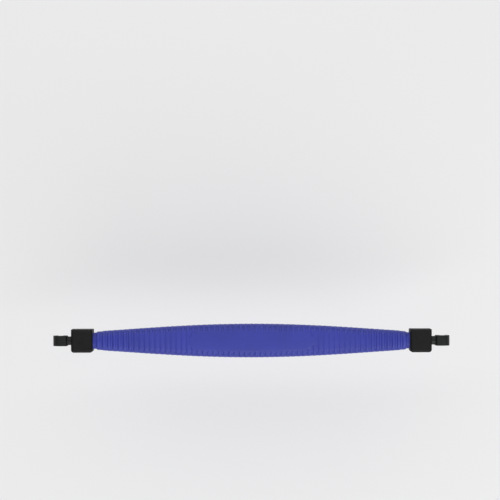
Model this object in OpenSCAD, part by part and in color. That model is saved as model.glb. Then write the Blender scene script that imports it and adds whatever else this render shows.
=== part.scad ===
// Long vibration dampener for racket strings.
// A soft ribbed strip has a block and a swivelling string hook at each end.
// X runs along the strip, Y across its width, Z through its thickness. The front face is up.
// The origin is below the middle of the strip, on the surface that the blocks' back faces rest on.

/* [Strip] */
// Length of the strip between the two blocks
strip_len = 75.8; // [50:0.1:100]
// Width of the strip in the middle
mid_w = 8.1; // [6:0.1:12]
// Width of the strip at its last rib
end_w = 4.6; // [4.3:0.1:5.8]
// Thickness of the strip in the middle
mid_t = 4.4; // [3.8:0.1:5]
// Thickness of the strip at its last rib
end_t = 3.6; // [3.4:0.1:4]
// How the outline bulges: 1 is a plain cosine, more is slimmer
taper_power = 1.1; // [0.8:0.05:1.6]
// Radius of the strip's long edges
edge_r = 1.4; // [0.5:0.1:1.6]

/* [Ribs] */
// Distance from one rib to the next
rib_pitch = 1.26; // [0.8:0.02:2]
// Length of one rib along the strip
rib_len = 0.8; // [0.4:0.02:0.8]
// Depth of the grooves between ribs
groove_depth = 0.22; // [0.1:0.01:0.3]

/* [Panel] */
// Length of the smooth panel on each face
panel_len = 30; // [16:0.5:40]
// Width of the smooth panel in the middle
panel_w = 4.8; // [3:0.1:5]
// How far the panel stands above the middle rib
panel_proud = 0.05; // [0.02:0.01:0.2]

/* [Strip end] */
// Width of the waist that passes through the block's mouth
waist_w = 3.9; // [3:0.1:4]
// Thickness of the waist
waist_t = 3.0; // [2.4:0.1:3.1]
// Length of the waist that shows between the last rib and the block
waist_show = 0.9; // [0.4:0.1:2]
// Width of the bulb that is held in the block
bulb_w = 4.5; // [4.2:0.1:4.6]
// Thickness of the bulb
bulb_t = 3.7; // [3.5:0.1:3.9]
// Length of the bulb
bulb_len = 1.3; // [0.8:0.1:2]

/* [End block] */
// Length of the block along the strip
block_len = 5.2; // [5:0.1:8]
// Width of the block
block_w = 5.6; // [5.4:0.1:8]
// Thickness of the block
block_t = 5.2; // [4.9:0.1:7]
// Length of the lip that the bulb snaps behind
lip_len = 0.8; // [0.5:0.1:1.2]
// Radius of the block's corners on its rounder long side, seen from the front
block_round_r = 0.7; // [0.2:0.1:0.9]
// Radius of the block's corners on its squarer long side
block_square_r = 0.2; // [0.1:0.05:0.6]
// Radius round the block's front face
block_front_r = 0.7; // [0.2:0.1:1]
// Radius round the block's back face
block_back_r = 0.2; // [0.1:0.05:0.6]

/* [String hook] */
// How far the hook reaches out of the block
hook_reach = 4.4; // [4:0.1:6]
// Width of the hook along the string
hook_w = 2.5; // [2.2:0.1:4]
// Wall of the hook around the string
hook_wall = 1.0; // [0.7:0.05:1.2]
// Radius of the string seat
seat_r = 0.7; // [0.6:0.05:0.85]
// Width of the mouth that the string snaps in through
mouth_w = 1.15; // [0.9:0.05:1.2]
// Length of the round neck that shows between the block and the hook
neck_len = 1.0; // [0.5:0.1:1.2]
// Diameter of the neck and stem
stem_d = 2.1; // [1.6:0.1:2.2]
// Diameter of the snap head on the stem
head_d = 2.8; // [2.6:0.1:3]
// Length of the snap head
head_len = 0.8; // [0.5:0.1:1]
// Width of the slot that lets the snap head squeeze through the bore
slot_w = 0.5; // [0.3:0.05:0.6]
// Length of the slot
slot_len = 1.8; // [1:0.1:2]

/* [Fits] */
// Gap all round between the stem and its bore
stem_fit = 0.05; // [0.02:0.01:0.1]
// Gap between the strip's end and the walls of its pocket
pocket_fit = 0.03; // [0.01:0.01:0.1]
// Gap on each face of the snap head in its chamber
head_play = 0.1; // [0.05:0.01:0.2]

/* [Hidden] */
$fn = 48;

centre_z = block_t / 2;
strip_half = strip_len / 2;
ribbed_half = strip_half - waist_show;
rib_count = floor((2 * ribbed_half - rib_len) / rib_pitch) + 1;
last_rib_x = (rib_count - 1) / 2 * rib_pitch;
waist_x = last_rib_x;
waist_edge_r = min(edge_r, waist_t / 2 - 0.1);
bulb_edge_r = min(edge_r, bulb_t / 2 - 0.1);

pocket_end = lip_len + bulb_len + pocket_fit;
chamber_len = head_len + 2 * head_play;
chamber_d = head_d + 2 * stem_fit;
bore_d = stem_d + 2 * stem_fit;
chamber_end = pocket_end + chamber_len;
head_x = pocket_end + head_play;

ring_r = seat_r + hook_wall;
seat_x = block_len + hook_reach - ring_r;
root_x = block_len + neck_len;
root_corner_r = 0.5 * hook_wall;
root_drop = seat_r + 0.6 * hook_wall;
cut = 0.1;

// Share of the middle's extra width and thickness that is left at a distance from the middle
function fullness(x) = pow(max(0, cos(90 * min(1, abs(x) / ribbed_half))), taper_power);
function strip_w(x) = end_w + (mid_w - end_w) * fullness(x);
function strip_t(x) = end_t + (mid_t - end_t) * fullness(x);
function rib_x(i) = (i - (rib_count - 1) / 2) * rib_pitch;

// A flat rectangle, centred across and from y0 to y1, with one radius for its low and one for its high corners
module rounded_outline(x0, x1, y0, y1, low_r, high_r) {
    translate([x0, y0 + low_r]) square([x1 - x0, y1 - y0 - low_r - high_r]);
    translate([x0 + low_r, y0]) square([x1 - x0 - 2 * low_r, low_r * 1.5]);
    translate([x0 + high_r, y1 - high_r * 1.5]) square([x1 - x0 - 2 * high_r, high_r * 1.5]);
    for (x = [x0 + low_r, x1 - low_r]) translate([x, y0 + low_r]) circle(low_r);
    for (x = [x0 + high_r, x1 - high_r]) translate([x, y1 - high_r]) circle(high_r);
}

// A bar along X with rounded edges, centred on the strip's middle line
module bar(x0, len, w, t, r) {
    translate([x0, 0, centre_z]) rotate([90, 0, 90]) linear_extrude(len) {
        square([w, t - 2 * r], center = true);
        square([w - 2 * r, t], center = true);
        for (y = [-1, 1], z = [-1, 1]) translate([y * (w / 2 - r), z * (t / 2 - r)]) circle(r);
    }
}

// A copy at each end: the shape is drawn for the right end
module at_end(side) {
    if (side < 0) mirror([1, 0, 0]) children();
    else children();
}

// A round bar along X
module round_bar(x0, x1, d0, d1) {
    translate([x0, 0, centre_z]) rotate([0, 90, 0]) cylinder(h = x1 - x0, d1 = d0, d2 = d1);
}

module rib(x) {
    bar(x - rib_len / 2, rib_len, strip_w(x), strip_t(x), edge_r);
}

// The web under one groove, from the middle of one rib to the middle of the next
module web(x) {
    bar(x, rib_pitch, strip_w(x + rib_pitch / 2) - 2 * groove_depth,
        strip_t(x + rib_pitch / 2) - 2 * groove_depth, edge_r - groove_depth);
}

// The smooth panel with round ends, as thick as the strip so that it shows on both faces
module panel() {
    through = mid_t + 2 * panel_proud;
    straight = panel_len - panel_w;
    translate([0, 0, centre_z - through / 2]) linear_extrude(through) {
        square([straight, panel_w], center = true);
        for (side = [-1, 1]) translate([side * straight / 2, 0]) circle(panel_w / 2);
    }
}

module strip_end() {
    bulb_x = strip_half + lip_len + pocket_fit;
    bar(waist_x, bulb_x - waist_x + cut, waist_w, waist_t, waist_edge_r);
    bar(bulb_x, bulb_len - pocket_fit, bulb_w, bulb_t, bulb_edge_r);
}

module damping_strip() {
    color("#4549ab") {
        for (i = [0 : rib_count - 1]) rib(rib_x(i));
        for (i = [0 : rib_count - 2]) web(rib_x(i));
        panel();
        for (side = [-1, 1]) at_end(side) strip_end();
    }
}

// The outside of a block, from its strip side at X = 0
module block_body() {
    intersection() {
        linear_extrude(block_t)
            rounded_outline(0, block_len, -block_w / 2, block_w / 2, block_round_r, block_square_r);
        rotate([90, 0, 90]) linear_extrude(block_len)
            rounded_outline(-block_w / 2, block_w / 2, 0, block_t, block_back_r, block_front_r);
        translate([0, block_w / 2, 0]) rotate([90, 0, 0]) linear_extrude(block_w)
            rounded_outline(0, block_len, 0, block_t, block_back_r, block_front_r);
    }
}

module end_block() {
    color("#1d1d1f") difference() {
        block_body();
        bar(-cut, lip_len + 2 * cut, waist_w + 2 * pocket_fit, waist_t + 2 * pocket_fit,
            waist_edge_r + pocket_fit);
        bar(lip_len, pocket_end - lip_len, bulb_w + 2 * pocket_fit, bulb_t + 2 * pocket_fit,
            bulb_edge_r + pocket_fit);
        round_bar(pocket_end - cut, chamber_end, chamber_d, chamber_d);
        round_bar(chamber_end - cut, block_len + cut, bore_d, bore_d);
    }
}

// The hook seen from its side, with the string seat at the centre and the front face up
module hook_outline() {
    back = root_x - seat_x;
    difference() {
        union() {
            circle(ring_r);
            translate([back, -root_drop]) square([-back, root_drop + ring_r - root_corner_r]);
            translate([back + root_corner_r, 0]) square([-back - root_corner_r, ring_r]);
            translate([back + root_corner_r, ring_r - root_corner_r]) circle(root_corner_r);
        }
        circle(seat_r);
        translate([-mouth_w / 2, -ring_r - cut]) square([mouth_w, ring_r + cut]);
    }
}

module string_hook() {
    color("#262a2a") difference() {
        union() {
            translate([seat_x, hook_w / 2, centre_z]) rotate([90, 0, 0]) linear_extrude(hook_w)
                hook_outline();
            round_bar(head_x + head_len - cut, root_x + 0.5 * hook_wall, stem_d, stem_d);
            round_bar(head_x, head_x + head_len, stem_d, head_d);
        }
        translate([head_x - cut, -hook_w, centre_z - slot_w / 2]) cube([slot_len + cut, 2 * hook_w, slot_w]);
    }
}

module end_block_left() at_end(-1) translate([strip_half, 0, 0]) end_block();
module end_block_right() at_end(1) translate([strip_half, 0, 0]) end_block();
module string_hook_left() at_end(-1) translate([strip_half, 0, 0]) string_hook();
module string_hook_right() at_end(1) translate([strip_half, 0, 0]) string_hook();

damping_strip();
end_block_left();
end_block_right();
string_hook_left();
string_hook_right();
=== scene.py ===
"""Vibration dampener for racket strings: a soft ribbed strip, two end blocks and two swivel hooks."""

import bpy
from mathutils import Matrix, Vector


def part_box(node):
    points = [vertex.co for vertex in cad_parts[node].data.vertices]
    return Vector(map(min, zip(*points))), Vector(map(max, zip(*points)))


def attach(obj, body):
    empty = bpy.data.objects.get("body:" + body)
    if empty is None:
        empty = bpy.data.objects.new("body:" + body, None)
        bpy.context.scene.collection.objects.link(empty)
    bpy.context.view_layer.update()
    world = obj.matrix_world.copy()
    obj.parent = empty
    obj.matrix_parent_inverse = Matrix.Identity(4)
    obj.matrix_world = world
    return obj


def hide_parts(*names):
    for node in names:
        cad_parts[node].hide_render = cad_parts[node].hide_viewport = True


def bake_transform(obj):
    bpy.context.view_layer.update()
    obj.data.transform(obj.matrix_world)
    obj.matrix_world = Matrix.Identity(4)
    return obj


bl_info = {
    "name": "String Vibration Dampener",
    "version": (1, 0, 0),
    "blender": (4, 5, 0),
    "location": "3D View > Sidebar > Dampener",
    "description": "Builds a ribbed elastomer dampener strip with its end blocks, string hooks and stage",
    "category": "Add Mesh",
}

import math

import bmesh
import bpy
from bpy.props import FloatProperty, PointerProperty, StringProperty
from mathutils import Matrix, Vector

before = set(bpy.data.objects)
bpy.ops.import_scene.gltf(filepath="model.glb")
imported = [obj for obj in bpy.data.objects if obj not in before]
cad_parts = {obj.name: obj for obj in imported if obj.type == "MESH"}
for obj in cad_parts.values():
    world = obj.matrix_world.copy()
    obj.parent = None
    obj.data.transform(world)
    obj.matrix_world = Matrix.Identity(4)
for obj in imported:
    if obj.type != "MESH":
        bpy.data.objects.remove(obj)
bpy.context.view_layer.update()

MM = 0.001
STRIP_LOW, STRIP_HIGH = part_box("damping_strip")
BLOCK_LOW, BLOCK_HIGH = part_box("end_block_right")
HOOK_LOW, HOOK_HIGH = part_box("string_hook_right")
CENTRE_Z = (BLOCK_LOW[2] + BLOCK_HIGH[2]) / 2
SIDES = {"left": -1, "right": 1}
ROUND_STEPS = 64  # steps round a full circle
MERGE = 0.0005 * MM  # points nearer than this are made one
SHARP_ANGLE = math.radians(35)  # edges that turn more than this stay sharp


# ---------------------------------------------------------------- settings

class StripSettings(bpy.types.PropertyGroup):
    """Sizes and colour of the elastomer strip"""

    rib_pitch: FloatProperty(
        name="Rib pitch", description="Distance from one rib to the next",
        default=1.26 * MM, unit="LENGTH", precision=5)
    groove_width: FloatProperty(
        name="Groove width", description="Width of a groove at half its depth",
        default=0.56 * MM, unit="LENGTH", precision=5)
    groove_depth: FloatProperty(
        name="Groove depth", description="Depth of the grooves round the edges and near the ends",
        default=0.28 * MM, unit="LENGTH", precision=5)
    face_groove: FloatProperty(
        name="Face groove depth", description="Depth of the grooves on the wide faces, away from the ends",
        default=0.1 * MM, unit="LENGTH", precision=5)
    side_groove: FloatProperty(
        name="Side groove depth", description="Depth of the grooves where they run out at the parting line",
        default=0.04 * MM, unit="LENGTH", precision=5)
    end_width: FloatProperty(
        name="End width", description="Width of the strip at its last rib",
        default=4.6 * MM, unit="LENGTH", precision=5)
    end_thickness: FloatProperty(
        name="End thickness", description="Thickness of the strip at its last rib",
        default=3.6 * MM, unit="LENGTH", precision=5)
    taper_power: FloatProperty(
        name="Taper", description="How the outline bulges: 1 is a plain cosine, more is slimmer", default=1.1)
    edge_radius: FloatProperty(
        name="Edge radius", description="Radius of the strip's long edges",
        default=1.4 * MM, unit="LENGTH", precision=5)
    crown: FloatProperty(
        name="Crown", description="How far each wide face falls away towards its long edges",
        default=0.08 * MM, unit="LENGTH", precision=5)
    panel_length: FloatProperty(
        name="Panel length", description="Length of the smooth panel on each face",
        default=30 * MM, unit="LENGTH", precision=5)
    panel_border: FloatProperty(
        name="Panel border", description="Width of the ribbed border between the panel and the strip's edge",
        default=1.5 * MM, unit="LENGTH", precision=5)
    panel_round: FloatProperty(
        name="Panel rounding", description="Length over which the panel's ends are rounded",
        default=3 * MM, unit="LENGTH", precision=5)
    panel_proud: FloatProperty(
        name="Panel height", description="How far the panel stands above the ribs beside it",
        default=0.05 * MM, unit="LENGTH", precision=5)
    waist_width: FloatProperty(
        name="Waist width", description="Width of the waist that enters the block",
        default=3.9 * MM, unit="LENGTH", precision=5)
    waist_thickness: FloatProperty(
        name="Waist thickness", description="Thickness of the waist that enters the block",
        default=3.0 * MM, unit="LENGTH", precision=5)
    waist_show: FloatProperty(
        name="Waist length", description="Length of waist between the last rib and the block",
        default=0.9 * MM, unit="LENGTH", precision=5)
    bulb_width: FloatProperty(
        name="Bulb width", description="Width of the bulb that the block holds",
        default=4.5 * MM, unit="LENGTH", precision=5)
    bulb_thickness: FloatProperty(
        name="Bulb thickness", description="Thickness of the bulb that the block holds",
        default=3.7 * MM, unit="LENGTH", precision=5)
    tail_draw: FloatProperty(
        name="Tail draw", description="How far each side draws in over the last two ribs",
        default=0.1 * MM, unit="LENGTH", precision=5)
    flash: FloatProperty(
        name="Parting line", description="Height of the fine ridge where the mould's halves met",
        default=0.03 * MM, unit="LENGTH", precision=5)
    colour: StringProperty(
        name="Colour", description="sRGB hex colour of the elastomer", default="#333ca1")


class BlockSettings(bpy.types.PropertyGroup):
    """Sizes and colour of the end blocks"""

    corner_radius: FloatProperty(
        name="Corner radius", description="Radius of the corners on the rounder long side",
        default=0.7 * MM, unit="LENGTH", precision=5)
    square_radius: FloatProperty(
        name="Square corner radius", description="Radius of the corners on the squarer long side",
        default=0.2 * MM, unit="LENGTH", precision=5)
    front_radius: FloatProperty(
        name="Front radius", description="Radius round the front face",
        default=0.6 * MM, unit="LENGTH", precision=5)
    back_radius: FloatProperty(
        name="Back radius", description="Radius round the back face",
        default=0.12 * MM, unit="LENGTH", precision=5)
    parting_height: FloatProperty(
        name="Parting height", description="Height of the parting line above the back face",
        default=1.6 * MM, unit="LENGTH", precision=5)
    lip: FloatProperty(
        name="Lip", description="Length of the lip that the strip's bulb snaps behind",
        default=0.8 * MM, unit="LENGTH", precision=5)
    pocket_fit: FloatProperty(
        name="Pocket gap", description="Gap between the strip's end and its pocket",
        default=0.03 * MM, unit="LENGTH", precision=5)
    pocket_radius: FloatProperty(
        name="Pocket radius", description="Radius of the long corners inside the mouth and the pocket",
        default=1.4 * MM, unit="LENGTH", precision=5)
    flare: FloatProperty(
        name="Mouth flare", description="Chamfer round the mouth and the bore",
        default=0.18 * MM, unit="LENGTH", precision=5)
    colour: StringProperty(
        name="Colour", description="sRGB hex colour of the nylon", default="#080809")


class HookSettings(bpy.types.PropertyGroup):
    """Sizes and colour of the string hooks"""

    seat_radius: FloatProperty(
        name="Seat radius", description="Radius of the seat that holds the string",
        default=0.7 * MM, unit="LENGTH", precision=5)
    wall: FloatProperty(
        name="Wall", description="Wall of the hook around the string",
        default=1.0 * MM, unit="LENGTH", precision=5)
    mouth: FloatProperty(
        name="Mouth", description="Width of the mouth that the string snaps through",
        default=1.15 * MM, unit="LENGTH", precision=5)
    drop: FloatProperty(
        name="Drop", description="How far the hook reaches behind the string's centre",
        default=1.3 * MM, unit="LENGTH", precision=5)
    width: FloatProperty(
        name="Width", description="Width of the hook along the string",
        default=2.5 * MM, unit="LENGTH", precision=5)
    neck: FloatProperty(
        name="Neck", description="Length of the round neck between the block and the hook",
        default=1.0 * MM, unit="LENGTH", precision=5)
    stem_diameter: FloatProperty(
        name="Stem diameter", description="Diameter of the neck and of the stem in the block",
        default=2.1 * MM, unit="LENGTH", precision=5)
    head_diameter: FloatProperty(
        name="Head diameter", description="Diameter of the snap head inside the block",
        default=2.8 * MM, unit="LENGTH", precision=5)
    head_length: FloatProperty(
        name="Head length", description="Length of the snap head",
        default=0.8 * MM, unit="LENGTH", precision=5)
    slot_width: FloatProperty(
        name="Slot width", description="Width of the slot that lets the snap head squeeze through its bore",
        default=0.5 * MM, unit="LENGTH", precision=5)
    slot_length: FloatProperty(
        name="Slot length", description="Length of the slot in the snap head and stem",
        default=1.8 * MM, unit="LENGTH", precision=5)
    stem_fit: FloatProperty(
        name="Stem gap", description="Gap all round between the stem and its bore",
        default=0.05 * MM, unit="LENGTH", precision=5)
    head_play: FloatProperty(
        name="Head play", description="Gap on each face of the snap head in its chamber",
        default=0.1 * MM, unit="LENGTH", precision=5)
    colour: StringProperty(
        name="Colour", description="sRGB hex colour of the acetal", default="#101313")


class StageSettings(bpy.types.PropertyGroup):
    """Floor, lights and camera"""

    camera_height: FloatProperty(
        name="Camera height", description="Height of the camera above the blocks' back faces",
        default=0.46, unit="LENGTH")
    view_width: FloatProperty(
        name="View width", description="Width that the camera sees at the strip's middle height",
        default=0.1199, unit="LENGTH")
    aside: FloatProperty(
        name="Aside", description="How far the camera stands from the object's middle towards +X",
        default=-0.0003, unit="LENGTH")
    above: FloatProperty(
        name="Above", description="How far the camera stands from the object towards +Y",
        default=0.0217, unit="LENGTH")
    roll: FloatProperty(
        name="Roll", description="Turn of the camera about its own axis",
        default=math.radians(-0.08), subtype="ANGLE", unit="ROTATION")
    floor_size: FloatProperty(
        name="Floor size", description="Length of each side of the floor", default=2.4, unit="LENGTH")
    floor_drop: FloatProperty(
        name="Floor drop", description="Room below the blocks for ends that bend towards the back",
        default=0.03, unit="LENGTH")
    floor_colour: StringProperty(
        name="Floor colour", description="sRGB hex colour of the floor", default="#f1f1f1")
    room_colour: StringProperty(
        name="Room colour", description="sRGB hex colour of the light from all round", default="#f2f2f4")
    room_strength: FloatProperty(
        name="Room strength", description="Strength of the light from all round", default=0.3)
    key_power: FloatProperty(
        name="Key power", description="Power of the softbox at the -Y side, in watts", default=5.9)
    fill_power: FloatProperty(
        name="Fill power", description="Power of the softbox at the +Y side, in watts", default=3.5)


# ---------------------------------------------------------------- small tools

def linear(hex_colour):
    """An sRGB hex colour as the linear red, green, blue and alpha that shaders take."""
    channels = [int(hex_colour[i:i + 2], 16) / 255 for i in (1, 3, 5)]
    return [c / 12.92 if c <= 0.04045 else ((c + 0.055) / 1.055) ** 2.4 for c in channels] + [1.0]


def smooth_step(low, high, value):
    """0 at low, 1 at high, easing at both ends."""
    t = min(1.0, max(0.0, (value - low) / (high - low)))
    return t * t * (3 - 2 * t)


def mix(a, b, share):
    """From a to b by a share."""
    return a + (b - a) * share


def add_node(tree, kind, settings=None, links=None):
    """Adds a node, sets its properties or its sockets by name, and links its inputs."""
    node = tree.nodes.new(kind)
    for name, value in (settings or {}).items():
        if name in node.inputs:
            node.inputs[name].default_value = value
        else:
            setattr(node, name, value)
    for name, socket in (links or {}).items():
        tree.links.new(socket, node.inputs[name])
    return node


def new_material(name):
    """An empty material and its node tree."""
    material = bpy.data.materials.new(name)
    material.use_nodes = True
    material.node_tree.nodes.clear()
    return material, material.node_tree


def finish_piece(bm, name, material, sharp_angle=SHARP_ANGLE):
    """Makes an object of the mesh: doubles merged, faces outwards, smooth up to the sharp angle."""
    bmesh.ops.remove_doubles(bm, verts=bm.verts, dist=MERGE)
    bmesh.ops.recalc_face_normals(bm, faces=bm.faces)
    mesh = bpy.data.meshes.new(name)
    bm.to_mesh(mesh)
    bm.free()
    mesh.materials.append(material)
    mesh.shade_smooth()
    mesh.set_sharp_from_angle(angle=sharp_angle)
    piece = bpy.data.objects.new(name, mesh)
    bpy.context.scene.collection.objects.link(piece)
    return piece


def combine(piece, bm, operation):
    """Cuts the mesh out of the piece, or joins it on, and leaves one clean mesh."""
    tool_mesh = bpy.data.meshes.new("tool")
    bmesh.ops.recalc_face_normals(bm, faces=bm.faces)
    bm.to_mesh(tool_mesh)
    bm.free()
    tool = bpy.data.objects.new("tool", tool_mesh)
    bpy.context.scene.collection.objects.link(tool)
    modifier = piece.modifiers.new("combine", "BOOLEAN")
    modifier.operation = operation
    modifier.solver = "EXACT"
    modifier.object = tool
    evaluated = piece.evaluated_get(bpy.context.evaluated_depsgraph_get())
    mesh = bpy.data.meshes.new_from_object(evaluated)
    if not mesh.polygons:
        raise RuntimeError(f"nothing was left of {piece.name}")
    old, name = piece.data, piece.data.name
    piece.modifiers.clear()
    piece.data = mesh
    bpy.data.meshes.remove(old)
    mesh.name = name
    bpy.data.objects.remove(tool)
    bpy.data.meshes.remove(tool_mesh)


def weighted_normals(piece):
    """Flat faces shade flat and the bevels between them carry the turn."""
    piece.data.shade_smooth()
    piece.data.set_sharp_from_angle(angle=SHARP_ANGLE)
    modifier = piece.modifiers.new("weighted normals", "WEIGHTED_NORMAL")
    modifier.weight = 80
    modifier.keep_sharp = True


def rounded_outline(half_x, half_y, high_radius, low_radius):
    """Points round a rectangle, anticlockwise from +X, its +Y corners with one radius and -Y with another."""
    steps = 8
    points = []
    for quarter, (side_x, side_y) in enumerate(((1, 1), (-1, 1), (-1, -1), (1, -1))):
        radius = high_radius if side_y > 0 else low_radius
        for step in range(steps + 1):
            angle = (quarter + step / steps) * math.pi / 2
            points.append((side_x * (half_x - radius) + radius * math.cos(angle),
                           side_y * (half_y - radius) + radius * math.sin(angle)))
    return points


def lofted(levels):
    """A closed shell drawn up through (height, outline) levels, whose outlines have as many points each."""
    bm = bmesh.new()
    bmesh.ops.create_circle(bm, cap_ends=True, segments=len(levels[0][1]), radius=1)
    ring, edges = bm.verts[:], bm.edges[:]
    for level, (height, outline) in enumerate(levels):
        if level:
            made = bmesh.ops.extrude_edge_only(bm, edges=edges)["geom"]
            ring = [g for g in made if isinstance(g, bmesh.types.BMVert)]
            edges = [g for g in made if isinstance(g, bmesh.types.BMEdge) and all(v in ring for v in g.verts)]
        ring.sort(key=lambda v: math.atan2(v.co.y, v.co.x) % math.tau)
        for vertex, (x, y) in zip(ring, outline):
            vertex.co = (x, y, height)
    bmesh.ops.edgeloop_fill(bm, edges=edges)
    return bm


def turned(profile):
    """A solid turned about the strip's middle line, from (x, radius) points that start and end on it."""
    bm = bmesh.new()
    points = [bm.verts.new((x, 0, CENTRE_Z + radius)) for x, radius in profile]
    line = [bm.edges.new(pair) for pair in zip(points, points[1:])]
    bmesh.ops.spin(
        bm, geom=points + line, cent=(0, 0, CENTRE_Z), axis=(1, 0, 0), angle=math.tau, steps=ROUND_STEPS,
        use_merge=True)
    bmesh.ops.remove_doubles(bm, verts=bm.verts, dist=MERGE)
    return bm


def to_side(piece, side):
    """Mirrors a piece made for the right end when the left one is wanted."""
    if side < 0:
        piece.data.transform(Matrix.Scale(-1, 4, (1, 0, 0)))
        piece.data.flip_normals()


# ---------------------------------------------------------------- materials

def elastomer_material(hex_colour):
    """Thermoplastic elastomer (TPE), injection moulded in a finely blasted tool.

    It is soft and dense, so light goes a little way in. The skin is a dull satin, and its highlights
    break up on a grain of about 0.05 mm, drawn at 0.12 mm so that it shows.
    """
    material, tree = new_material("elastomer moulded satin")
    place = add_node(tree, "ShaderNodeTexCoord")
    cloud = add_node(tree, "ShaderNodeTexNoise", {"Scale": 1 / (6 * MM), "Detail": 3.0},
                     {"Vector": place.outputs["Object"]})
    grain = add_node(tree, "ShaderNodeTexNoise", {"Scale": 1 / (0.12 * MM), "Detail": 4.0, "Roughness": 0.6},
                     {"Vector": place.outputs["Object"]})
    base = linear(hex_colour)
    tint = add_node(tree, "ShaderNodeValToRGB", links={"Fac": cloud.outputs["Fac"]})
    tint.color_ramp.elements[0].position = 0.3
    tint.color_ramp.elements[1].position = 0.7
    tint.color_ramp.elements[0].color = [c * 0.93 for c in base[:3]] + [1]
    tint.color_ramp.elements[1].color = [min(1, c * 1.06) for c in base[:3]] + [1]
    rough = add_node(tree, "ShaderNodeMapRange", {"To Min": 0.4, "To Max": 0.58},
                     {"Value": grain.outputs["Fac"]})
    bump = add_node(tree, "ShaderNodeBump", {"Strength": 0.5, "Distance": 0.02 * MM},
                    {"Height": grain.outputs["Fac"]})
    shader = add_node(
        tree, "ShaderNodeBsdfPrincipled",
        {"IOR": 1.5, "Subsurface Weight": 0.12, "Subsurface Radius": (0.6, 0.5, 1.2),
         "Subsurface Scale": 0.5 * MM, "Sheen Weight": 0.08, "Sheen Roughness": 0.4},
        {"Base Color": tint.outputs["Color"], "Roughness": rough.outputs["Result"],
         "Normal": bump.outputs["Normal"]})
    add_node(tree, "ShaderNodeOutputMaterial", links={"Surface": shader.outputs["BSDF"]})
    return material


def nylon_material(hex_colour):
    """Black nylon 6, injection moulded in a spark-eroded tool.

    The tool leaves a matt, pebbled skin of about 0.1 mm grain, drawn at 0.16 mm so that it shows, with a
    faint cloudy variation in gloss where the melt flowed.
    """
    material, tree = new_material("nylon moulded spark eroded")
    place = add_node(tree, "ShaderNodeTexCoord")
    flow = add_node(tree, "ShaderNodeTexNoise", {"Scale": 1 / (0.9 * MM), "Detail": 3.0},
                    {"Vector": place.outputs["Object"]})
    pebble = add_node(tree, "ShaderNodeTexVoronoi", {"Scale": 1 / (0.16 * MM), "feature": "SMOOTH_F1"},
                      {"Vector": place.outputs["Object"]})
    base = linear(hex_colour)
    tint = add_node(tree, "ShaderNodeValToRGB", links={"Fac": flow.outputs["Fac"]})
    tint.color_ramp.elements[0].position = 0.35
    tint.color_ramp.elements[1].position = 0.65
    tint.color_ramp.elements[0].color = [c * 0.6 for c in base[:3]] + [1]
    tint.color_ramp.elements[1].color = [min(1, c * 1.5) for c in base[:3]] + [1]
    rough = add_node(tree, "ShaderNodeMapRange", {"To Min": 0.48, "To Max": 0.64},
                     {"Value": flow.outputs["Fac"]})
    bump = add_node(tree, "ShaderNodeBump", {"Strength": 0.6, "Distance": 0.04 * MM},
                    {"Height": pebble.outputs["Distance"]})
    shader = add_node(
        tree, "ShaderNodeBsdfPrincipled", {"IOR": 1.53, "Specular IOR Level": 0.25},
        {"Base Color": tint.outputs["Color"], "Roughness": rough.outputs["Result"],
         "Normal": bump.outputs["Normal"]})
    add_node(tree, "ShaderNodeOutputMaterial", links={"Surface": shader.outputs["BSDF"]})
    return material


def acetal_material(hex_colour):
    """Black acetal (POM), injection moulded in a milled and lightly polished tool.

    It is slippery and smoother than the nylon, a touch greenish, and the cutter's passes leave faint
    lines along the hook about 0.25 mm apart.
    """
    mark_scale = 1250.0  # of Blender's wave texture: the marks are about 0.25 mm apart
    material, tree = new_material("acetal moulded milled tool")
    place = add_node(tree, "ShaderNodeTexCoord")
    passes = add_node(
        tree, "ShaderNodeTexWave",
        {"wave_type": "BANDS", "bands_direction": "Y", "Scale": mark_scale,
         "Distortion": 1.2, "Detail": 2.0, "Detail Scale": 1.5},
        {"Vector": place.outputs["Object"]})
    fine = add_node(tree, "ShaderNodeTexNoise", {"Scale": 1 / (0.1 * MM), "Detail": 3.0},
                    {"Vector": place.outputs["Object"]})
    height = add_node(tree, "ShaderNodeMix", {"data_type": "FLOAT", "Factor": 0.35},
                      {"A": passes.outputs["Fac"], "B": fine.outputs["Fac"]})
    base = linear(hex_colour)
    tint = add_node(tree, "ShaderNodeValToRGB", links={"Fac": fine.outputs["Fac"]})
    tint.color_ramp.elements[0].color = [c * 0.88 for c in base[:3]] + [1]
    tint.color_ramp.elements[1].color = [min(1, c * 1.12) for c in base[:3]] + [1]
    rough = add_node(tree, "ShaderNodeMapRange", {"To Min": 0.4, "To Max": 0.55},
                     {"Value": passes.outputs["Fac"]})
    bump = add_node(tree, "ShaderNodeBump", {"Strength": 0.14, "Distance": 0.01 * MM},
                    {"Height": height.outputs["Result"]})
    shader = add_node(
        tree, "ShaderNodeBsdfPrincipled", {"IOR": 1.48, "Specular IOR Level": 0.4},
        {"Base Color": tint.outputs["Color"], "Roughness": rough.outputs["Result"],
         "Normal": bump.outputs["Normal"]})
    add_node(tree, "ShaderNodeOutputMaterial", links={"Surface": shader.outputs["BSDF"]})
    return material


def floor_material(hex_colour):
    """A plain matt sheet of pale paper."""
    material, tree = new_material("pale paper sheet")
    shader = add_node(tree, "ShaderNodeBsdfPrincipled", {"Base Color": linear(hex_colour), "Roughness": 0.9})
    add_node(tree, "ShaderNodeOutputMaterial", links={"Surface": shader.outputs["BSDF"]})
    return material


# ---------------------------------------------------------------- damping strip

GROOVE_FLOOR = 0.4  # share of half a groove's width that is its floor
GROOVE_RIM = 1.6  # share of half a groove's width where its wall meets the rib


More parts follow.
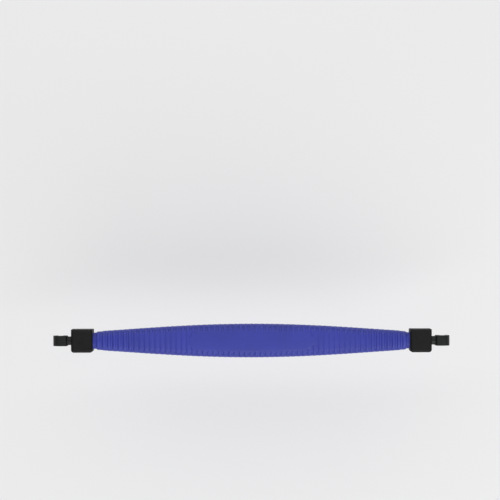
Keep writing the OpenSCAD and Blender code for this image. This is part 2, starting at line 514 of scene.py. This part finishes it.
def strip_stations(s, visible_half):
    """Places along the right half, through each groove's profile, and the place of the last rib."""
    half_groove = s.groove_width / 2
    half_rib = s.rib_pitch * 0.3
    wall = [GROOVE_FLOOR, 0.6, 0.8, 1, 1.2, 1.4, GROOVE_RIM]
    profile = [-share for share in reversed(wall)] + [0] + wall
    count = math.floor((visible_half - s.waist_show - half_rib) / s.rib_pitch)
    stations = [0.0]
    for rib in range(count):
        middle = (rib + 0.5) * s.rib_pitch
        stations += [middle + share * half_groove for share in profile]
        stations.append((rib + 1) * s.rib_pitch)
    return stations, count * s.rib_pitch


def groove_share(s, x, last_rib):
    """1 at the bottom of a groove and 0 on a rib, easing round the rib's edges."""
    if x > last_rib:
        return 0.0
    to_groove = abs((x / s.rib_pitch) % 1.0 - 0.5) * s.rib_pitch
    half_groove = s.groove_width / 2
    return 1 - smooth_step(GROOVE_FLOOR * half_groove, GROOVE_RIM * half_groove, to_groove)


def quarter_places():
    """Where the lines of a quarter section lie, from the middle of the front face to the parting line."""
    panel = [("panel", share) for share in (0, 0.3, 0.6, 0.85, 0.96, 1)]
    border = [("border", share) for share in (0, 0.4, 0.75)]
    arc = [("arc", step / 8) for step in range(9)]
    flash = [("flash", share) for share in (1, 0)]
    return panel + border + arc + flash


class StripSection:
    """The strip's cross-section at one place along its length."""

    TAIL_START, TAIL_END = -1.7, 0.3  # where each side draws in, in ribs from the last one
    DEEP_START, DEEP_END = 0.6, 0.95  # shares of the ribbed half between which the face grooves deepen
    PANEL_SLOPE = 0.05 * MM  # width of the panel's sloping edge
    PANEL_TIP = 0.25 * MM  # half-width that the panel's end narrows to
    FLASH_HEIGHT = 0.07 * MM  # half-height of the ridge at the parting line

    def __init__(self, s, x, middle_width, middle_thickness, ribbed_half, last_rib):
        fullness = max(0.0, math.cos(math.pi / 2 * min(1, x / ribbed_half))) ** s.taper_power
        into_tail = smooth_step(self.TAIL_START, self.TAIL_END, (x - last_rib) / s.rib_pitch)
        self.half_width = mix(s.end_width, middle_width, fullness) / 2 - s.flash - s.tail_draw * into_tail
        self.half_thickness = mix(s.end_thickness, middle_thickness, fullness) / 2
        self.half_thickness -= s.tail_draw / 2 * into_tail
        self.radius = s.edge_radius
        self.crown = s.crown
        self.flash = s.flash
        self.proud = s.panel_proud
        share = groove_share(s, x, last_rib)
        near_end = smooth_step(self.DEEP_START, self.DEEP_END, x / ribbed_half)
        self.edge_depth = s.groove_depth * share
        self.face_depth = mix(s.face_groove, s.groove_depth, near_end) * share
        self.side_depth = s.side_groove * share
        reach = s.panel_length / 2
        into_end = min(1, max(0, x - reach + s.panel_round) / s.panel_round)
        rounded_half = (self.half_width - s.panel_border) * math.sqrt(1 - into_end ** 2)
        self.panel_half = max(rounded_half, self.PANEL_TIP)
        self.on_panel = 1 - smooth_step(reach - 0.4 * MM, reach + 0.1 * MM, x)

    def narrow_to(self, width, thickness, share):
        """Draws the section in to the waist, or out to the bulb, by a share."""
        self.half_width = mix(self.half_width, width / 2, share)
        self.half_thickness = mix(self.half_thickness, thickness / 2, share)
        self.radius = min(self.radius, self.half_thickness - 0.1 * MM)
        self.crown *= 1 - share
        self.flash *= 1 - share

    def arc_depth(self, share):
        """Depth of the groove round the edge: deepest half-way round, nearly nothing at the parting line."""
        deep = mix(self.face_depth, self.edge_depth, smooth_step(0, 0.45, share))
        return mix(deep, self.side_depth, smooth_step(0.45, 1, share))

    def point(self, kind, share):
        """The (y, z) of one line of the quarter section, from the strip's middle line."""
        corner_y = self.half_width - self.radius
        corner_z = self.half_thickness - self.crown - self.radius
        foot = self.panel_half + self.PANEL_SLOPE
        if kind in ("panel", "border"):
            y = self.panel_half * share if kind == "panel" else mix(foot, corner_y, share)
            z = self.half_thickness - self.crown * min(1, y / corner_y) ** 2
            if kind == "border":
                return y, z - self.face_depth
            rounding = 1 - 0.5 * smooth_step(0.9, 1, share)
            return y, z - self.face_depth * (1 - self.on_panel) + self.proud * self.on_panel * rounding
        if kind == "arc":
            angle = share * math.pi / 2
            radius = self.radius - self.arc_depth(share)
            return corner_y + radius * math.sin(angle), corner_z + radius * math.cos(angle)
        side = corner_y + self.radius - self.side_depth
        return side + self.flash * (1 - share), self.FLASH_HEIGHT * share


def strip_half(s, lip, name, side, material):
    """One half of the moulding, from the middle of the strip to the bulb inside its block."""
    face_x = BLOCK_LOW[0]
    end_x = STRIP_HIGH[0]
    middle_width = STRIP_HIGH[1] - STRIP_LOW[1]
    middle_thickness = STRIP_HIGH[2] - STRIP_LOW[2] - 2 * s.panel_proud
    stations, last_rib = strip_stations(s, face_x)
    lip_end = face_x + lip
    shoulder = last_rib + 0.24 * MM
    waist = shoulder + 0.5 * MM
    bulb_slope = 0.18 * MM
    bulb_round = 0.25 * MM
    stations += [mix(shoulder, waist, k / 6) for k in range(7)] + [face_x]
    stations += [lip_end + bulb_slope * share for share in (0, 2 / 9, 1 / 2, 1)]
    stations += [end_x - bulb_round * share for share in (1, 0.32, 0.08, 0)]
    places = quarter_places()
    bm = bmesh.new()
    bmesh.ops.create_grid(bm, x_segments=len(stations) - 1, y_segments=len(places) - 1, size=0.5)
    for vertex in bm.verts:
        i = round((vertex.co.x + 0.5) * (len(stations) - 1))
        j = round((vertex.co.y + 0.5) * (len(places) - 1))
        x = stations[i]
        section = StripSection(s, x, middle_width, middle_thickness, face_x - s.waist_show, last_rib)
        if x > shoulder:
            section.narrow_to(s.waist_width, s.waist_thickness, smooth_step(shoulder, waist, x))
        if x > lip_end:
            share = smooth_step(lip_end, lip_end + bulb_slope, x)
            rounding = bulb_round * smooth_step(end_x - bulb_round, end_x, x) ** 2
            section.narrow_to(s.bulb_width - 2 * rounding, s.bulb_thickness - 2 * rounding, share)
        y, z = section.point(*places[j])
        vertex.co = (x, y, z)
    for axis in ("Y", "Z"):
        geometry = bm.verts[:] + bm.edges[:] + bm.faces[:]
        bmesh.ops.mirror(bm, geom=geometry, matrix=Matrix.Identity(4), merge_dist=MERGE, axis=axis)
    bmesh.ops.remove_doubles(bm, verts=bm.verts, dist=MERGE)
    open_edges = [e for e in bm.edges if e.is_boundary]
    bmesh.ops.holes_fill(bm, edges=open_edges, sides=0)
    bmesh.ops.translate(bm, vec=(0, 0, CENTRE_Z), verts=bm.verts)
    piece = finish_piece(bm, name, material, sharp_angle=math.radians(60))
    to_side(piece, side)
    return piece


class DAMPENER_OT_strip(bpy.types.Operator):
    """Build the ribbed strip as two halves, one for each end"""

    bl_idname = "dampener.strip"
    bl_label = "Damping strip"

    def execute(self, context):
        s = context.scene.dampener_strip
        lip = context.scene.dampener_block.lip
        material = elastomer_material(s.colour)
        for end, side in SIDES.items():
            piece = strip_half(s, lip, f"damping_strip_{end}_half", side, material)
            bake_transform(piece)
            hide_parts("damping_strip")
        return {"FINISHED"}


# ---------------------------------------------------------------- end blocks

def block_levels(s, height):
    """(height, inset) of each outline up the block: back edge, parting line, front edge."""
    low, high = s.back_radius, s.front_radius
    flash, step = 0.02 * MM, 0.05 * MM  # how far the parting line stands out, and half its height
    turns = [math.pi / 2 * part / 6 for part in range(7)]
    levels = [(low * (1 - math.cos(a)), flash + low * (1 - math.sin(a))) for a in turns]
    levels += [(s.parting_height + offset * step, flash * abs(offset)) for offset in (-1, 0, 1)]
    levels += [(height - high * (1 - math.sin(a)), flash + high * (1 - math.cos(a))) for a in turns]
    return levels


def block_shell(s):
    """The outside of a block: a rounded outline drawn up from the back face to the front."""
    length, width, height = [high - low for low, high in zip(BLOCK_LOW, BLOCK_HIGH)]
    smallest = 0.03 * MM
    bm = lofted([
        (z, rounded_outline(length / 2 - inset, width / 2 - inset,
                            max(s.square_radius - inset, smallest), max(s.corner_radius - inset, smallest)))
        for z, inset in block_levels(s, height)])
    middle = ((BLOCK_LOW[0] + BLOCK_HIGH[0]) / 2, 0, BLOCK_LOW[2])
    bmesh.ops.translate(bm, vec=middle, verts=bm.verts)
    return bm


def strip_pocket(s, strip, over):
    """The room for the strip's waist and bulb: a flared mouth, the lip's throat, then the wider pocket."""
    face = BLOCK_LOW[0]
    throat = (strip.waist_thickness / 2 + s.pocket_fit, strip.waist_width / 2 + s.pocket_fit)
    pocket = (strip.bulb_thickness / 2 + s.pocket_fit, strip.bulb_width / 2 + s.pocket_fit)
    mouth = [half + s.flare for half in throat]
    sizes = [(face - over, mouth), (face, mouth), (face + s.flare, throat), (face + s.lip, throat),
             (face + s.lip, pocket), (STRIP_HIGH[0] + s.pocket_fit, pocket)]
    bm = lofted([(x, rounded_outline(half_z, half_y, s.pocket_radius, s.pocket_radius))
                 for x, (half_z, half_y) in sizes])
    bmesh.ops.rotate(bm, cent=(0, 0, 0), matrix=Matrix.Rotation(math.pi / 2, 3, "Y"), verts=bm.verts)
    bmesh.ops.translate(bm, vec=(0, 0, CENTRE_Z), verts=bm.verts)
    return bm


def end_block(s, strip, hook, name, side, material):
    """One block, hollowed for the strip and the hook, with an ejector mark on its back."""
    piece = finish_piece(block_shell(s), name, material)
    outer = BLOCK_HIGH[0]
    over = 0.3 * MM
    overlap = 0.02 * MM
    pocket_end = STRIP_HIGH[0] + s.pocket_fit
    chamber_end = pocket_end + hook.head_length + 2 * hook.head_play
    chamber_r = hook.head_diameter / 2 + hook.stem_fit
    bore_r = hook.stem_diameter / 2 + hook.stem_fit
    combine(piece, strip_pocket(s, strip, over), "DIFFERENCE")
    combine(piece, turned([
        (pocket_end - overlap, 0), (pocket_end - overlap, chamber_r), (chamber_end, chamber_r),
        (chamber_end, bore_r), (outer - s.flare, bore_r), (outer, bore_r + s.flare),
        (outer + over, bore_r + s.flare), (outer + over, 0)]), "DIFFERENCE")
    mark_radius, mark_floor_radius, mark_depth = 0.65 * MM, 0.6 * MM, 0.06 * MM
    mark = bmesh.new()
    bmesh.ops.create_cone(
        mark, cap_ends=True, segments=40, radius1=mark_radius, radius2=mark_floor_radius,
        depth=2 * mark_depth)
    bmesh.ops.translate(mark, vec=((BLOCK_LOW[0] + outer) / 2, 0, BLOCK_LOW[2]), verts=mark.verts)
    combine(piece, mark, "DIFFERENCE")
    to_side(piece, side)
    weighted_normals(piece)
    return piece


class DAMPENER_OT_blocks(bpy.types.Operator):
    """Build the two moulded end blocks"""

    bl_idname = "dampener.blocks"
    bl_label = "End blocks"

    def execute(self, context):
        scene = context.scene
        material = nylon_material(scene.dampener_block.colour)
        for end, side in SIDES.items():
            piece = end_block(
                scene.dampener_block, scene.dampener_strip, scene.dampener_hook, f"end_block_{end}_moulding",
                side, material)
            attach(piece, f"{end}_end")
            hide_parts(f"end_block_{end}")
        return {"FINISHED"}


# ---------------------------------------------------------------- string hooks

def hook_body(s, seat_x, root_x):
    """The C-shaped hook around the string seat, with its corners and its side edges rounded."""
    ring = s.seat_radius + s.wall
    half_mouth = s.mouth / 2
    flare = 0.2 * MM
    back_round, front_round, edge_round = 0.25 * MM, 0.5 * MM, 0.14 * MM
    bm = bmesh.new()

    def corner(x, z):
        """A point of the hook's side, from the seat's centre."""
        return bm.verts.new((seat_x + x, -s.width / 2, CENTRE_Z + z))

    def arc(start, angle):
        """Turns a point about the seat's centre and gives the last point of its arc."""
        made = bmesh.ops.spin(
            bm, geom=[start], cent=(seat_x, -s.width / 2, CENTRE_Z), axis=(0, 1, 0), angle=angle,
            steps=round(ROUND_STEPS * abs(angle) / math.tau))
        return next(g for g in made["geom_last"] if isinstance(g, bmesh.types.BMVert))

    inner_angle = math.asin(half_mouth / s.seat_radius)
    inner_z = -s.seat_radius * math.cos(inner_angle)
    outer_angle = math.pi / 2 + math.asin(s.drop / ring)
    seat_start = corner(half_mouth, inner_z)
    seat_end = arc(seat_start, -(math.tau - 2 * inner_angle))
    crown = corner(0, ring)
    outer_end = arc(crown, outer_angle)
    root = root_x - seat_x
    throat = [corner(-half_mouth, flare - s.drop), corner(-half_mouth - flare, -s.drop)]
    back = [corner(root, -s.drop), corner(root, ring)]
    tip = [corner(half_mouth + flare, -s.drop), corner(half_mouth, flare - s.drop)]
    path = [seat_end, *throat, *back, crown]
    for pair in [*zip(path, path[1:]), (outer_end, tip[0]), (tip[0], tip[1]), (tip[1], seat_start)]:
        bm.edges.new(pair)
    bmesh.ops.contextual_create(bm, geom=bm.edges[:])
    near = 0.001 * MM
    for (x, z), radius in (((root, -s.drop), back_round), ((root, ring), front_round)):
        found = [v for v in bm.verts if abs(v.co.x - seat_x - x) + abs(v.co.z - CENTRE_Z - z) < near]
        bmesh.ops.bevel(bm, geom=found, offset=radius, affect="VERTICES", segments=6, profile=0.5,
                        material=-1)
    made = bmesh.ops.extrude_face_region(bm, geom=bm.faces[:])
    bmesh.ops.translate(
        bm, vec=(0, s.width, 0), verts=[g for g in made["geom"] if isinstance(g, bmesh.types.BMVert)])
    bmesh.ops.recalc_face_normals(bm, faces=bm.faces)
    rims = [e for e in bm.edges if all(abs(abs(v.co.y) - s.width / 2) < near for v in e.verts)
            and abs(e.verts[0].co.y - e.verts[1].co.y) < near]
    bmesh.ops.bevel(
        bm, geom=rims, offset=edge_round, affect="EDGES", segments=4, profile=0.5, material=-1)
    return bm


def string_hook(s, name, side, material):
    """One hook: the C, a neck that flares into it, and a stem with a split snap head."""
    ring = s.seat_radius + s.wall
    seat_x = HOOK_HIGH[0] - ring
    root_x = BLOCK_HIGH[0] + s.neck
    head_x = HOOK_LOW[0]
    stem_r, head_r = s.stem_diameter / 2, s.head_diameter / 2
    piece = finish_piece(hook_body(s, seat_x, root_x), name, material)
    fillet = 0.14 * MM
    flare = [(root_x - fillet * math.cos(a), stem_r + fillet * (1 - math.sin(a)))
             for a in (math.pi / 2 * (1 - k / 5) for k in range(6))]
    edge = 0.08 * MM
    profile = [(head_x, 0), (head_x, stem_r - edge), (head_x + edge, stem_r),
               (head_x + s.head_length - edge, head_r), (head_x + s.head_length, head_r - edge),
               (head_x + s.head_length, stem_r)]
    inside = root_x + 0.3 * MM
    profile += flare + [(inside, flare[-1][1]), (inside, 0)]
    combine(piece, turned(profile), "UNION")
    through = 4 * MM
    slot = bmesh.new()
    bmesh.ops.create_cube(slot, size=1)
    bmesh.ops.scale(slot, vec=(2 * s.slot_length, through, s.slot_width), verts=slot.verts)
    bmesh.ops.translate(slot, vec=(head_x, 0, CENTRE_Z), verts=slot.verts)
    combine(piece, slot, "DIFFERENCE")
    to_side(piece, side)
    weighted_normals(piece)
    return piece


class DAMPENER_OT_hooks(bpy.types.Operator):
    """Build the two swivelling string hooks"""

    bl_idname = "dampener.hooks"
    bl_label = "String hooks"

    def execute(self, context):
        s = context.scene.dampener_hook
        material = acetal_material(s.colour)
        for end, side in SIDES.items():
            piece = string_hook(s, f"string_hook_{end}_moulding", side, material)
            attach(piece, f"{end}_hook")
            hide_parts(f"string_hook_{end}")
        return {"FINISHED"}


# ---------------------------------------------------------------- stage

def softbox(name, place, size, power):
    """A soft rectangular light that faces the origin."""
    light = bpy.data.lights.new(name, "AREA")
    light.shape = "RECTANGLE"
    light.size, light.size_y = size
    light.energy = power
    lamp = bpy.data.objects.new(name, light)
    lamp.location = place
    lamp.rotation_euler = (-Vector(place)).to_track_quat("-Z", "Y").to_euler()
    bpy.context.scene.collection.objects.link(lamp)


class DAMPENER_OT_stage(bpy.types.Operator):
    """Build the floor, the soft studio lights and the camera"""

    bl_idname = "dampener.stage"
    bl_label = "Stage"

    def execute(self, context):
        scene = context.scene
        s = scene.dampener_stage
        bm = bmesh.new()
        bmesh.ops.create_grid(bm, x_segments=1, y_segments=1, size=s.floor_size / 2)
        bmesh.ops.translate(bm, vec=(0, 0, -s.floor_drop), verts=bm.verts)
        mesh = bpy.data.meshes.new("floor")
        bm.to_mesh(mesh)
        bm.free()
        mesh.materials.append(floor_material(s.floor_colour))
        floor = bpy.data.objects.new("floor", mesh)
        scene.collection.objects.link(floor)
        softbox("key softbox", place=(0.2, -0.55, 0.6), size=(1.1, 0.7), power=s.key_power)
        softbox("fill softbox", place=(-0.1, 0.56, 0.55), size=(1.2, 0.7), power=s.fill_power)
        world = bpy.data.worlds.new("pale studio")
        world.use_nodes = True
        background = world.node_tree.nodes["Background"]
        background.inputs["Color"].default_value = linear(s.room_colour)
        background.inputs["Strength"].default_value = s.room_strength
        scene.world = world
        camera_data = bpy.data.cameras.new("camera")
        camera_data.sensor_width = 36
        distance = s.camera_height - CENTRE_Z
        camera_data.lens = camera_data.sensor_width * distance / s.view_width
        camera_data.clip_start, camera_data.clip_end = 0.01, 10
        camera = bpy.data.objects.new("camera", camera_data)
        camera.location = (s.aside, s.above, s.camera_height)
        camera.rotation_euler = (0, 0, s.roll)
        scene.collection.objects.link(camera)
        scene.camera = camera
        scene.view_settings.view_transform = "Standard"
        return {"FINISHED"}


# ---------------------------------------------------------------- panel

class DAMPENER_PT_panel(bpy.types.Panel):
    """Lists the pieces and their settings"""

    bl_idname = "DAMPENER_PT_panel"
    bl_label = "Vibration dampener"
    bl_space_type = "VIEW_3D"
    bl_region_type = "UI"
    bl_category = "Dampener"

    def draw(self, context):
        for operator, settings in PIECES:
            box = self.layout.box()
            box.operator(operator)
            group = getattr(context.scene, settings)
            for name in group.bl_rna.properties.keys():
                if name not in ("rna_type", "name"):
                    box.prop(group, name)


PIECES = (
    ("dampener.stage", "dampener_stage"),
    ("dampener.strip", "dampener_strip"),
    ("dampener.blocks", "dampener_block"),
    ("dampener.hooks", "dampener_hook"),
)
GROUPS = {
    "dampener_stage": StageSettings,
    "dampener_strip": StripSettings,
    "dampener_block": BlockSettings,
    "dampener_hook": HookSettings,
}
CLASSES = (
    *GROUPS.values(), DAMPENER_OT_stage, DAMPENER_OT_strip, DAMPENER_OT_blocks, DAMPENER_OT_hooks,
    DAMPENER_PT_panel,
)


def register():
    for cls in CLASSES:
        bpy.utils.register_class(cls)
    for name, group in GROUPS.items():
        setattr(bpy.types.Scene, name, PointerProperty(type=group))


def unregister():
    for name in GROUPS:
        delattr(bpy.types.Scene, name)
    for cls in reversed(CLASSES):
        bpy.utils.unregister_class(cls)


def main():
    register()
    bpy.ops.dampener.stage()
    bpy.ops.dampener.strip()
    bpy.ops.dampener.blocks()
    bpy.ops.dampener.hooks()


if __name__ == "__main__":
    main()
